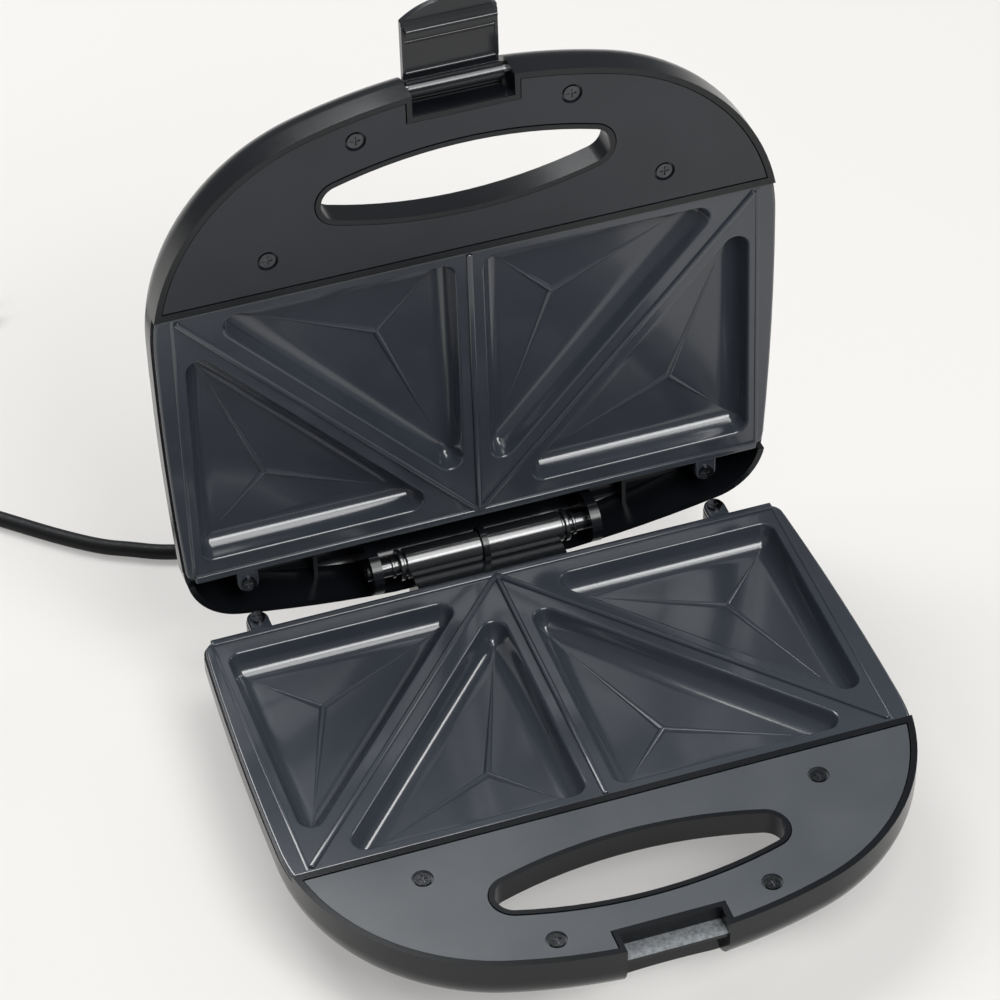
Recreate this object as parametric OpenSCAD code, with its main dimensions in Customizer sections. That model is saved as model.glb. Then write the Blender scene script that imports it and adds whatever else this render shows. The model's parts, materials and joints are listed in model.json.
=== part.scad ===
// Two-slice sandwich toaster: a lid and a base, each with a handle bow, hinged at the rear.
// Millimetres. +X to the object's right, +Y to its rear, +Z up. Stored with the lid open on its stop.

/* [Housings] */
// Half width of each housing at its widest
housing_half_w = 121; // [105:0.1:135]
// How far in front of the plate's rear line the handle bow ends
housing_front = 194.6; // [175:0.1:210]
// Distance from the centre of the front arc to that of each corner arc
arc_apart = 131.25; // [110:0.25:150]
// Radius of the long side curves
side_r = 1350; // [800:10:2500]
// Depth of each housing behind its plate face
shell_depth = 36; // [32:0.5:45]
// Wall thickness of the housings
wall = 2.4; // [1.8:0.1:3.5]
// Straight height of the side wall before it curves under
wall_straight = 7.5; // [5:0.5:12]
// Radius of the rim's rounded lower edge
under_r = 14.5; // [10:0.5:18]
// Height of the handle rim above the plate face
rim_z = 1.3; // [0.8:0.1:1.35]
// Radius of the base's two rear corners
rear_corner_r = 6; // [3:0.5:10]
// How far the base's rear wall stands behind the plate's rear line
base_rear = 5; // [4.6:0.1:8]
// How far the lid's rear skirt reaches behind the plate's rear line
skirt_rear = 32.5; // [31:0.5:40]
// Radius of the skirt's two rear corners
skirt_corner_r = 24; // [16:1:30]

/* [Handle] */
// Distance from the centre of each long arc of the finger opening to that of its end arcs
oval_apart = 170; // [140:0.5:200]
// Half width of the oval finger opening
oval_half_w = 14.2; // [12:0.1:18]
// Height of the opening's straight side, above the slope under the handle
grip_straight = 9; // [7:0.5:11]
// Distance from the plate's rear line to the oval's centre
oval_at = 155; // [148:0.1:160]
// Thickness of the collar around the oval
collar_t = 2; // [1.5:0.1:3]
// Gap between the panel and the walls around it
panel_gap = 0.4; // [0.3:0.1:0.8]
// Thickness of the handle panels
panel_t = 2.6; // [2:0.1:3.2]
// How far the panel lies below the rim
panel_drop = 0.3; // [0.1:0.1:0.8]
// Distance from the plate's rear line to the panel's straight edge
panel_edge = 123.5; // [122:0.1:126]

/* [Plates] */
// Width left between the housing's outline and the plate's edge
plate_inset = 0.9; // [0.5:0.1:2]
// Distance from the plate's rear line to its front edge
plate_front = 119.8; // [112:0.1:120.2]
// Width of the raised rear rim
plate_rim_w = 4.3; // [3.5:0.1:4.6]
// How far the plate's flat middle ends inside the housing's side
flat_in = 8; // [7:0.1:16]
// Thickness of the plates
plate_t = 2.2; // [1.8:0.1:3]
// Distance between the two plate faces when closed
face_gap = 3; // [3:0.1:4]
// Width of the sealing ribs
rib_w = 2.4; // [1.8:0.1:3]
// Height of the sealing ribs
rib_h = 1.1; // [0.6:0.1:1.3]
// How far the ribs' meeting point lies behind the plate's rear line
rib_start = 2.4; // [1.5:0.1:3]
// Depth of the sandwich pockets
pocket_depth = 10; // [8:0.5:12]
// Radius of the pockets' corners
pocket_r = 5; // [4:0.5:8]
// Distance from a diagonal rib's middle to the pocket beside it
pocket_off = 6.4; // [5:0.1:8]
// Half width of the bridge between the two inner pockets
pocket_mid = 5.6; // [4.5:0.1:8]
// Outer pockets' outer side, in from the housing's side
pocket_in = 11.8; // [11:0.1:20]
// Distance from the plate's rear line to the outer pockets
pocket_rear = 5; // [4:0.1:8]
// Distance from the plate's rear line to the front edge of the inner pockets
pocket_front = 115.4; // [108:0.1:116]
// Distance of each plate lug from the middle
lug_x = 92.4; // [80:0.1:96]
// Distance of the lug screws behind the plate's rear line
lug_y = 10.4; // [9.5:0.1:12]
// Radius of the plate lugs
lug_r = 4.2; // [3.8:0.1:5]

/* [Hinge] */
// Distance of the hinge axis behind the plate's rear line
axis_back = 18.4; // [18:0.1:19]
// Angle of the open lid from closed
lid_open = 93.9; // [92:0.1:96]
// Radius of the hinge barrels
barrel_r = 6; // [5:0.1:7]
// Half length of the pair of barrels
barrel_end = 31.5; // [25:0.5:33]
// Radius of the hinge necks that turn in the lid's ears
neck_r = 3.6; // [3.2:0.1:4.5]
// Running clearance of the necks and of the latch pin
run_gap = 0.06; // [0.02:0.01:0.1]
// Distance from the middle to the inner face of each ear
ear_in = 42; // [38:0.5:46]
// Thickness of the lid's hinge ears
ear_t = 4; // [3:0.5:5]
// Radius of the lid's hinge ears
ear_r = 9; // [7:0.1:9.5]

/* [Latch] */
// Half width of the latch
latch_half_w = 18; // [15:0.1:18.4]
// Half width of the notches in both handle bows
notch_half_w = 19.3; // [18.7:0.1:22]
// Distance from the plate's rear line to the notch's back wall
notch_back = 184.6; // [183.5:0.1:185.5]
// Distance from the plate's rear line to the latch pin
latch_at = 189.5; // [189:0.1:190.5]
// Depth of the latch pin behind the plate face
latch_deep = 9; // [8:0.1:10]
// Radius of the latch pin
latch_pin_r = 1.5; // [1.2:0.1:1.8]
// Radius of the latch's barrel around the pin
latch_barrel_r = 3.2; // [2.8:0.1:3.6]
// Distance from the latch pin to the catching face of the hook
hook_at = 21.5; // [21.4:0.1:23]
// Length of the latch from its pin to the corners of its lip
latch_len = 26; // [25:0.1:30]
// Rise of the lip's curved edge above its corners
lip_rise = 6.4; // [3:0.1:8]
// Thickness of the latch's flat
latch_t = 2.5; // [2:0.1:3]
// Distance from the pin's axis to the latch's inner face
latch_off = 3.5; // [3.4:0.1:4.5]
// Depth of the keeper's top below the plate face
keeper_top = 5; // [4:0.1:6]
// Thickness of the keeper bar
keeper_t = 4; // [3:0.1:4]

/* [Screws and feet] */
// Head radius of the panel screws
panel_head_r = 3; // [2.5:0.1:3.5]
// Head radius of the lug screws
lug_head_r = 2.9; // [2.5:0.1:3.4]
// Shank radius of all housing screws
screw_r = 1.5; // [1.2:0.1:1.8]
// Radius of the wells around the panel screws
well_r = 4; // [3.6:0.1:4.5]
// Height of the rubber feet below the base
foot_h = 4; // [3:0.5:6]
// Radius of the rubber feet
foot_r = 7; // [5:0.5:9]

/* [Cord] */
// Diameter of the supply cord
cord_d = 6.2; // [5.5:0.1:7.5]
// Number of turns of the stored coil
coil_turns = 2; // [2:1:4]

/* [Hidden] */
$fn = 96;

eps = 0.01;
tall = 60;
far_w = 2 * housing_half_w;
far_l = 2 * housing_front;
axis_y = axis_back;
axis_z = face_gap / 2;
bow_deep = wall_straight + under_r;
ring_w = 30;
box_top = 18;
box_half_w = housing_half_w - 18;
fill_half_w = housing_half_w - 24;
flat_half_w = housing_half_w - flat_in;
pocket_side = housing_half_w - pocket_in;
corner_step = 0.3;
skirt_under_r = 10;
box_front = 126;
box_rake = 0.78;
box_rear = base_rear - 0.6;
box_lid_rear = 8;
box_slope = 1.15;
panel_top = rim_z - panel_drop;
notch_wall = 2;
screw_front_x = 40.7;
screw_front_v = 179.6;
screw_rear_x = 75.9;
screw_rear_v = 136.5;
boss_r = 3.8;
skirt_arc = 520;
lug_boss_r = 4.4;
well_deep = 1.5;
head_drop = 0.4;
lug_hole = 16;
pin_half = notch_half_w + notch_wall;
plate_gap = 0.4;
keeper_front = 192.2;
keeper_low = keeper_top + keeper_t;
keeper_bevel = 2.4;

// Plan of the outline: three tangent arcs on each side, all moved in by e. The front arc meets
// each corner arc along u_front, whose two numbers are short, as is arc_span, so the arcs meet exactly.
u_front = [0.28, -0.96];
arc_span = 0.625 * round(arc_apart / 0.625);
turn_x = u_front[0] * arc_span;
corner_r = housing_half_w - turn_x;
front_r = corner_r + arc_span;
c_front = [0, front_r - housing_front];
c_turn = c_front + arc_span * u_front;
fill_in = 3;
fill_turn = [0.6, -0.6];
widest_at = -c_turn[1];
c_side = [housing_half_w - side_r, c_turn[1]];

// Half width of the outline, moved in by e, at distance v in front of the rear line.
function side_x(v, e) = c_side[0] + sqrt(pow(side_r - e, 2) - pow(v - widest_at, 2));

module wedge(c, a, b, far) {
  polygon([c, c + a * far, c + (a + b) * far, c + b * far]);
}

module mirrored() {
  children();
  mirror([1, 0]) children();
}

module pair() {
  children();
  mirror([1, 0, 0]) children();
}

// The outline in front of the rear line, moved in by e.
module bow_plan(e) {
  t_front = c_front + u_front * (front_r - e);
  x_side = housing_half_w - e;
  intersection() {
    translate(c_front) circle(r = front_r - e, $fn = 360);
    polygon([c_front, c_front + [u_front[0], u_front[1]] * 2 * front_r, c_front + [-u_front[0], u_front[1]] * 2 * front_r]);
  }
  mirrored() intersection() {
    translate(c_turn) circle(r = corner_r - e, $fn = 240);
    wedge(c_turn, u_front, [1, 0], 3 * corner_r);
  }
  mirrored() intersection() {
    translate(c_side) circle(r = side_r - e, $fn = 720);
    translate([0, -widest_at]) square([x_side + 20, widest_at]);
  }
  // filling that reaches across the seams between the arcs
  mirrored() polygon([[0, fill_in - widest_at], [0, e + fill_in - housing_front], t_front,
    c_turn + fill_turn * (corner_r - e), [x_side, -widest_at], [x_side - fill_in, fill_in - widest_at]]);
}

// Wall section of the rim: straight, then a quarter round under; drawn at the end of a radius.
module rim_section(radius, e, top) {
  from = max(radius - ring_w, 0);
  arc = under_r - e;
  translate([from, -wall_straight]) square([radius - e - from, top + wall_straight]);
  translate([from, -bow_deep + e]) square([radius - under_r - from, bow_deep - e]);
  intersection() {
    translate([radius - under_r, -wall_straight]) circle(r = arc);
    translate([radius - under_r - eps, -bow_deep - 1]) square([under_r + 1, under_r + 1]);
  }
}

// The rim section swept round a centre, kept between the directions a and b.
module swept_rim(centre, radius, a, b, e, top) {
  translate([centre[0], centre[1], 0]) intersection() {
    rotate([0, 0, 180]) rotate_extrude($fn = 360) rim_section(radius, e, top);
    translate([0, 0, -tall]) linear_extrude(2 * tall) wedge([0, 0], a, b, 2 * radius);
  }
}

// The shallow pan both housings share, its sides running straight on past the rear.
module pan(e, top) {
  side_end = asin((widest_at + skirt_rear + 2) / side_r);
  swept_rim(c_front, front_r, u_front, [-u_front[0], u_front[1]], e, top);
  pair() swept_rim(c_turn, corner_r, u_front, [1, 0], e, top);
  pair() translate([c_side[0], c_side[1], 0]) rotate_extrude(angle = side_end, $fn = 360) rim_section(side_r, e, top);
  translate([0, 0, -bow_deep + e]) linear_extrude(bow_deep - e + top) bow_plan(under_r + 3);
  translate([-fill_half_w, -10, -bow_deep + e]) cube([2 * fill_half_w, skirt_rear + 12, bow_deep - e + top]);
}

// The deeper box under the plate, its sides and its front sloped.
module deep_box(e, rear_at) {
  deep = -shell_depth + e;
  step = shell_depth - bow_deep;
  fall = box_slope * (bow_deep - box_top);
  past = 20;
  intersection() {
    rotate([90, 0, 0]) translate([0, 0, -rear_at + e]) linear_extrude(box_front + past + rear_at - e)
      polygon([[-box_half_w - fall + e, -box_top], [-box_half_w + box_slope * step + e, deep],
        [box_half_w - box_slope * step - e, deep], [box_half_w + fall - e, -box_top]]);
    rotate([90, 0, 90]) translate([0, 0, -far_w]) linear_extrude(2 * far_w)
      polygon([[e - box_front - box_rake * 2, 2 - box_top], [rear_at + past, 2 - box_top],
        [rear_at + past, deep - 2], [e - box_front + box_rake * (2 - deep - box_top), deep - 2]]);
  }
}

// Base, moved in by e.
module base_solid(e, top) {
  intersection() {
    pan(e, top);
    translate([0, 0, -tall]) linear_extrude(2 * tall) base_rear_plan(e);
  }
  deep_box(e, box_rear);
}

// Keeps what lies in front of the base's rear wall, with its two round corners.
module base_rear_plan(e) {
  y = base_rear - rear_corner_r;
  x = side_x(-y, 0) - rear_corner_r - corner_step;
  translate([-far_w, -far_l]) square([2 * far_w, far_l + y]);
  translate([-x, y - 1]) square([2 * x, rear_corner_r - e + 1]);
  mirrored() translate([x, y]) circle(r = rear_corner_r - e);
}

// Lid, moved in by e; its rear skirt reaches round the hinge.
module lid_solid(e, top) {
  intersection() {
    pan(e, top);
    translate([0, 0, -tall]) linear_extrude(2 * tall) lid_rear_plan(e);
    rotate([90, 0, 90]) translate([0, 0, -far_w]) linear_extrude(2 * far_w) skirt_side(e);
  }
  deep_box(e, box_lid_rear);
}

// Keeps what lies in front of the lid's skirt, a shallow arc with two round corners.
module lid_rear_plan(e) {
  x = side_x(0, 0) - skirt_corner_r - corner_step;
  y = skirt_rear - skirt_arc + sqrt(pow(skirt_arc - skirt_corner_r, 2) - x * x);
  x_turn = x * (skirt_arc - e) / (skirt_arc - skirt_corner_r);
  translate([-far_w, -far_l]) square([2 * far_w, far_l + y]);
  intersection() {
    translate([0, skirt_rear - skirt_arc]) circle(r = skirt_arc - e, $fn = 720);
    translate([-x_turn, y - 1]) square([2 * x_turn, skirt_rear]);
  }
  mirrored() translate([x, y]) circle(r = skirt_corner_r - e);
}

// Rounds the skirt's lower rear edge.
module skirt_side(e) {
  translate([-far_l, -tall]) square([far_l + skirt_rear - skirt_under_r, 2 * tall]);
  translate([0, -bow_deep + skirt_under_r]) square([skirt_rear - e, tall]);
  translate([skirt_rear - skirt_under_r, -bow_deep + skirt_under_r]) circle(r = skirt_under_r - e);
}

// The finger opening: two long arcs and two round ends, which meet along u_oval, moved out by g.
u_oval = [0.28, 0.96];
oval_end_r = oval_half_w - (1 - u_oval[1]) * oval_apart;
oval_arc = oval_end_r + oval_apart;
module oval(g) {
  span = u_oval[0] * (oval_arc + g);
  translate([0, -oval_at]) {
    intersection() {
      translate([0, -u_oval[1] * oval_apart]) circle(r = oval_arc + g, $fn = 360);
      translate([0, u_oval[1] * oval_apart]) circle(r = oval_arc + g, $fn = 360);
      translate([-span, -tall]) square([2 * span, 2 * tall]);
    }
    mirrored() translate([u_oval[0] * oval_apart, 0]) circle(r = oval_end_r + g);
  }
}

// Sweeps a section round the finger opening; its x is the distance out from the opening's edge.
module round_oval() {
  translate([0, -oval_at, 0]) {
    for (m = [0, 1]) mirror([0, m, 0]) translate([0, -u_oval[1] * oval_apart, 0]) intersection() {
      rotate([0, 0, 180]) rotate_extrude($fn = 360) translate([oval_arc, 0]) children();
      translate([0, 0, -tall]) linear_extrude(2 * tall) wedge([0, 0], u_oval, [-u_oval[0], u_oval[1]], 2 * oval_arc);
    }
    pair() translate([u_oval[0] * oval_apart, 0, 0]) intersection() {
      rotate([0, 0, 180]) rotate_extrude() translate([oval_end_r, 0]) children();
      translate([0, 0, -tall]) linear_extrude(2 * tall) wedge([0, 0], u_oval, [u_oval[0], -u_oval[1]], tall);
    }
  }
}

// Straight side of the finger opening, e out from its edge, and the slope under the handle, which
// falls by 3 in 4.
module grip_section(e, low, high) {
  inside = 0.4 - oval_end_r;
  polygon([[inside, low], [(1.25 * e - grip_straight - low) / 0.75, low], [e, 0.5 * e - grip_straight], [e, high],
    [inside, high]]);
}

module notch_plan(g) {
  translate([-notch_half_w - g, -housing_front - 10]) square([2 * (notch_half_w + g), housing_front + 10 - notch_back + g]);
}

// The four panel screws' places.
module at_panel_screws() {
  pair() translate([screw_front_x, -screw_front_v, 0]) children();
  pair() translate([screw_rear_x, -screw_rear_v, 0]) children();
}

module at_lugs() {
  pair() translate([lug_x, lug_y, 0]) children();
}

// ---- what both housings have inside: collar, notch walls, cross wall and bosses ----
module inner_walls() {
  round_oval() grip_section(collar_t, 1 - bow_deep, rim_z);
  translate([0, 0, -bow_deep]) linear_extrude(bow_deep + rim_z) oval(-oval_end_r / 2);
  translate([0, 0, -shell_depth]) linear_extrude(shell_depth + rim_z) notch_plan(notch_wall);
  at_panel_screws() translate([0, 0, panel_top - panel_t]) mirror([0, 0, 1])
    cylinder(r = boss_r, h = shell_depth + panel_top - panel_t);
  translate([-housing_half_w, -panel_edge + panel_gap, -shell_depth])
    cube([2 * housing_half_w, panel_edge - panel_gap - plate_front - plate_gap - 0.1, shell_depth + rim_z]);
}

// Room for the plate, which lies on the wall.
module plate_seat(rear) {
  translate([-far_w, -plate_front - plate_gap, -plate_t]) cube([2 * far_w, plate_front + plate_gap + rear, tall]);
}

// What both housings lose: finger opening, notch and screw holes.
module openings() {
  round_oval() grip_section(0, -bow_deep - 0.3, 2);
  translate([0, 0, -tall]) linear_extrude(2 * tall) oval(-oval_end_r / 2 - 1);
  translate([0, 0, -tall]) linear_extrude(2 * tall) notch_plan(0);
  at_panel_screws() translate([0, 0, -12]) cylinder(r = screw_r, h = 20);
}

// ---- base housing: shell, keeper, hinge cradle, lug bosses ----
module lower_housing_local() {
  difference() {
    union() {
      difference() {
        difference() {
          base_solid(0, rim_z);
          difference() {
            base_solid(wall, rim_z + 5);
            inner_walls();
          }
        }
        plate_seat(40);
        openings();
      }
      // keeper bar for the latch hook
      rotate([90, 0, 90]) translate([0, 0, -notch_half_w - 1]) linear_extrude(2 * notch_half_w + 2)
        polygon([[-keeper_front, -keeper_top], [1 - notch_back, -keeper_top], [1 - notch_back, -keeper_low],
          [keeper_bevel - keeper_front, -keeper_low], [-keeper_front, keeper_bevel - keeper_low]]);
      clamp_saddle();
      // lug bosses behind the rear wall
      at_lugs() intersection() {
        union() {
          translate([0, 0, -26]) cylinder(r = lug_boss_r, h = 26 - plate_t);
          translate([-lug_boss_r, -lug_y + base_rear - wall, -26]) cube([2 * lug_boss_r, lug_y - base_rear + wall, 26 - plate_t]);
        }
        translate([0, 0, -30]) cube([40, 60, 60], center = true);
      }
      // hinge cradle: a saddle under the barrels, a web between them, a stop face for the skirt
      difference() {
        union() {
          translate([-cradle_half, base_rear - wall, cradle_low]) cube([2 * cradle_half, cradle_back - base_rear + wall, axis_z - 2 - cradle_low]);
          translate([-web_half, 0, 0]) rotate([90, 0, 90]) translate([axis_y, axis_z, 0]) cylinder(r = web_r, h = 2 * web_half);
        }
        hinge_line(barrel_r, cradle_half + 1, web_half);
        hinge_line(bore_r, cradle_half + 1, 0);
        translate([-cradle_half - 1, 0, -plate_t]) cube([2 * cradle_half + 2, plate_rim_w + plate_gap, tall]);
      }
    }
    at_lugs() translate([0, 0, -lug_hole]) cylinder(r = screw_r, h = lug_hole + face_gap);
    translate([cord_x, 0, cord_z]) rotate([-90, 0, 0]) cylinder(r = gland_r, h = 4 * base_rear);
    at_clamp_screws() translate([0, 0, -shell_depth + wall + 0.4]) cylinder(r = screw_r, h = 20);
    at_feet() translate([0, 0, -shell_depth - 1]) cylinder(r = 2, h = 1 + wall + 1);
  }
}
cradle_half = 30;
cradle_low = -15;
web_half = 1.2;
web_r = 7.4;
bore_r = 2.4;
cradle_back = axis_y + (skirt_rear - axis_y) * cos(lid_open) - 0.1;

module hinge_line(r, half, from) {
  pair() translate([from, axis_y, axis_z]) rotate([0, 90, 0]) cylinder(r = r, h = half - from);
}

// ---- lid housing: shell, skirt recess wall, hinge ears, lamp holes ----
module upper_housing_local() {
  ear_low = -bow_deep + wall - 0.5;
  difference() {
    union() {
      difference() {
        difference() {
          lid_solid(0, rim_z);
          difference() {
            lid_solid(wall, rim_z + 5);
            inner_walls();
            translate([-housing_half_w, plate_rim_w - 0.3, -shell_depth]) cube([2 * housing_half_w, wall, shell_depth - plate_t - 0.3]);
            at_lugs() translate([0, 0, -plate_t]) mirror([0, 0, 1]) cylinder(r = lug_boss_r, h = shell_depth - plate_t);
            pair() translate([62, plate_rim_w, -shell_depth]) cube([1.6, skirt_rear, shell_depth - 12]);
          }
        }
        plate_seat(plate_rim_w + plate_gap);
        openings();
      }
      pair() translate([ear_in, 0, 0]) rotate([90, 0, 90]) {
        translate([axis_y, face_gap - axis_z, 0]) cylinder(r = ear_r, h = ear_t);
        translate([axis_y - ear_r, ear_low, 0]) cube([2 * ear_r, face_gap - axis_z - ear_low, ear_t]);
      }
    }
    pair() translate([ear_in - 1, axis_y, face_gap - axis_z]) rotate([0, 90, 0]) cylinder(r = neck_r + run_gap, h = ear_t + 2);
    at_lugs() translate([0, 0, -lug_hole]) cylinder(r = screw_r, h = lug_hole + face_gap);
    // bore of the latch pin through the notch walls
    translate([-pin_half, -latch_at, -latch_deep]) rotate([0, 90, 0]) cylinder(r = latch_pin_r, h = 2 * pin_half);
    at_lamps() translate([0, 0, -shell_depth - 1]) cylinder(r = lens_r, h = wall + 2);
  }
}

// ---- handle panels ----
module panel_local(rear_clear) {
  difference() {
    translate([0, 0, panel_top - panel_t]) linear_extrude(panel_t) difference() {
      intersection() {
        bow_plan(wall + panel_gap);
        translate([-far_w, -far_l]) square([2 * far_w, far_l - panel_edge]);
      }
      oval(collar_t + panel_gap);
      notch_plan(notch_wall + panel_gap);
    }
    at_panel_screws() {
      translate([0, 0, panel_top - well_deep]) cylinder(r = well_r, h = well_deep + 1);
      translate([0, 0, panel_top - panel_t - 1]) cylinder(r = screw_r + 0.2, h = panel_t + 2);
    }
  }
}

// ---- plates ----
rib_slope = (plate_front + rib_start) / flat_half_w;
rib_lift = pocket_off * sqrt(1 + rib_slope * rib_slope);
tri_outer = [[pocket_side, pocket_rear], [(pocket_rear + rib_start + rib_lift) / rib_slope, pocket_rear],
  [pocket_side, rib_slope * pocket_side - rib_start - rib_lift]];
tri_inner = [[pocket_mid, pocket_front], [pocket_mid, rib_slope * pocket_mid - rib_start + rib_lift],
  [(pocket_front + rib_start - rib_lift) / rib_slope, pocket_front]];

function in_radius(t) =
  let (a = norm(t[1] - t[0]), b = norm(t[2] - t[0]), c = norm(t[2] - t[1])) (a + b - c) / 2;
function in_centre(t) =
  let (a = norm(t[1] - t[2]), b = norm(t[2] - t[0]), c = norm(t[1] - t[0])) (a * t[0] + b * t[1] + c * t[2]) / (a + b + c);
function moved_in(t, e) =
  let (i = in_centre(t), k = 1 - e / in_radius(t)) [for (p = t) i + (p - i) * k];
function outward(a, b, i) =
  let (d = (b - a) / norm(b - a), n = [d[1], -d[0]]) (n * (a - i) > 0) ? n : -n;

// A triangle with round corners, moved in by e; v runs to the front, so y is turned over.
module rounded_tri(t, e) {
  r = pocket_r - e;
  c = moved_in(t, pocket_r);
  i = in_centre(t);
  mirror([0, 1]) {
    polygon([for (k = [0:2]) let (a = c[k], b = c[(k + 1) % 3], n = outward(a, b, i)) each [a + n * r, b + n * r]]);
    for (p = c) translate(p) circle(r = r);
  }
}

module pockets(e) {
  mirrored() rounded_tri(tri_outer, e);
  mirrored() rounded_tri(tri_inner, e);
}

module plate_plan() {
  x_end = side_x(rear_corner_r - plate_rim_w, plate_inset);
  intersection() {
    bow_plan(plate_inset);
    translate([-150, -plate_front]) square([300, plate_front]);
  }
  mirrored() square([x_end - rear_corner_r + 1, plate_rim_w]);
  mirrored() translate([x_end - rear_corner_r, plate_rim_w - rear_corner_r]) circle(r = rear_corner_r);
  mirrored() translate([lug_x, 0]) {
    translate([-lug_r, 0]) square([2 * lug_r, lug_y]);
    translate([0, lug_y]) circle(r = lug_r);
  }
}

// The raised lines that part and edge the slices: a middle one, two slanted ones and one along the rear.
module ribs_plan() {
  a = [0, rib_start];
  b = [flat_half_w - rib_w / 2, -plate_front + plate_lip + rib_w / 2];
  d = (b - a) / norm(b - a);
  n = [-d[1], d[0]] * rib_w / 2;
  translate([-rib_w / 2, -plate_front + plate_lip]) square([rib_w, plate_front - plate_lip + plate_rim_w - 1]);
  mirrored() polygon([a + n, b + n, b - n, a - n]);
  translate([-flat_half_w, plate_rim_w - rear_rib_w]) square([2 * flat_half_w, rear_rib_w]);
}
plate_lip = 0.9;
rear_rib_w = 3.2;
side_rib_w = 1.6;
wall_pan = 1.8;

module plate_local() {
  difference() {
    union() {
      translate([0, 0, -plate_t]) linear_extrude(plate_t) plate_plan();
      translate([0, 0, -pocket_depth - wall_pan]) linear_extrude(pocket_depth + 0.5) pockets(-wall_pan);
      translate([0, 0, -0.5]) linear_extrude(rib_h + 0.5) ribs_plan();
      pair() translate([flat_half_w - side_rib_w / 2, -plate_front + plate_lip, -0.5])
        cube([side_rib_w, plate_front - plate_lip + 2, rib_h / 2 + 0.5]);
    }
    translate([0, 0, -pocket_depth]) linear_extrude(pocket_depth + 5) pockets(0);
    at_lugs() translate([0, 0, -5]) cylinder(r = screw_r + 0.2, h = 10);
  }
}

// ---- heaters: a tube bent into one loop under the four pockets, with two terminals ----
module bent_tube(w, d, r, t) {
  translate([0, 0, -t]) {
    for (s = [-1, 1]) {
      translate([s * w / 2, -d / 2 + r, 0]) rotate([-90, 0, 0]) cylinder(r = t, h = d - 2 * r);
      translate([-w / 2 + r, s * d / 2, 0]) rotate([0, 90, 0]) cylinder(r = t, h = w - 2 * r);
    }
    for (sx = [-1, 1], sy = [-1, 1])
      translate([sx * (w / 2 - r), sy * (d / 2 - r), 0]) rotate([0, 0, sx > 0 ? (sy > 0 ? 0 : -90) : (sy > 0 ? 90 : 180)])
        rotate_extrude(angle = 90) translate([r, 0]) circle(r = t, $fn = 32);
  }
}
heat_r = 3.2;
heat_z = -pocket_depth - wall_pan - 0.2;

module heater_local() {
  mid = plate_front / 2;
  difference() {
    translate([0, -mid, heat_z]) bent_tube(150, 66, 16, heat_r);
    translate([-3, -mid + 25, heat_z - 10]) cube([6, 16, 12]);
  }
  pair() translate([11, -mid + 33 + heat_r - 1, heat_z - heat_r]) rotate([-90, 0, 0]) cylinder(r = 1.6, h = 9);
  pair() translate([3, -mid + 33, heat_z - heat_r]) rotate([0, 90, 0]) cylinder(r = heat_r + 0.1, h = 6);
}

// ---- reflector: a thin pan between the heater and the housing floor ----
module reflector_local() {
  t = 0.8;
  x = 90;
  y0 = -plate_front + 10;
  y1 = -14;
  z0 = reflector_low;
  high = -pocket_depth - wall_pan - 0.3 - z0;
  difference() {
    translate([-x, y0, z0]) cube([2 * x, y1 - y0, high]);
    translate([-x + t, y0 + t, z0 + t]) cube([2 * (x - t), y1 - y0 - 2 * t, high]);
    translate([-30, y1 - 3, z0 + 3]) cube([60, 6, high]);
  }
}

// ---- thermostat, fuse, terminals ----
module thermostat_local() {
  translate([0, -plate_front / 2, heat_z - 9]) {
    translate([0, 0, 3]) cylinder(r = 8, h = 6);
    cylinder(r = 6.4, h = 3.1);
    pair() translate([3, -1.5, -1]) cube([1, 3, 1.4]);
  }
}

module thermal_fuse_local() {
  translate([-46, -18.5, heat_z - 2.2]) rotate([0, 90, 0]) cylinder(r = 2, h = 12);
  translate([-52, -18.5, heat_z - 2.2]) rotate([0, 90, 0]) cylinder(r = 0.6, h = 24);
}

module terminal_block_local() {
  translate([34, -20, -shell_depth + wall]) difference() {
    cube([26, 14, 7]);
    for (i = [0:2]) translate([5 + 8 * i, -1, 4]) rotate([-90, 0, 0]) cylinder(r = 1.6, h = 16);
    for (i = [0:2]) translate([5 + 8 * i, 7, 4]) cylinder(r = 1.3, h = 5);
  }
}

// ---- hinge barrels: two sleeves on the base whose necks turn in the lid's ears ----
module hinge_barrels_local() {
  neck_end = ear_in + ear_t + 0.8;
  pair() difference() {
    union() {
      translate([web_half, axis_y, axis_z]) rotate([0, 90, 0]) cylinder(r = barrel_r, h = barrel_end - web_half);
      translate([barrel_end - eps, axis_y, axis_z]) rotate([0, 90, 0]) cylinder(r = barrel_r - 1.2, h = 1 + eps);
      translate([barrel_end + 1, axis_y, axis_z]) rotate([0, 90, 0]) cylinder(r = barrel_r + 0.2, h = 1.6);
      translate([barrel_end + 2, axis_y, axis_z]) rotate([0, 90, 0]) cylinder(r = neck_r, h = neck_end - barrel_end - 2);
      translate([barrel_end + 4.4, axis_y, axis_z]) rotate([0, 90, 0]) cylinder(r = neck_r + 0.9, h = 1.2);
    }
    translate([0, axis_y, axis_z]) rotate([0, 90, 0]) cylinder(r = bore_r, h = neck_end + 1);
  }
}

module link_leads_local() {
  half = ear_in + ear_t;
  for (k = [0:1]) translate([-half, axis_y, axis_z - 1.1 + 2.2 * k]) rotate([0, 90, 0]) cylinder(r = 1.05, h = 2 * half, $fn = 24);
}

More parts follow.
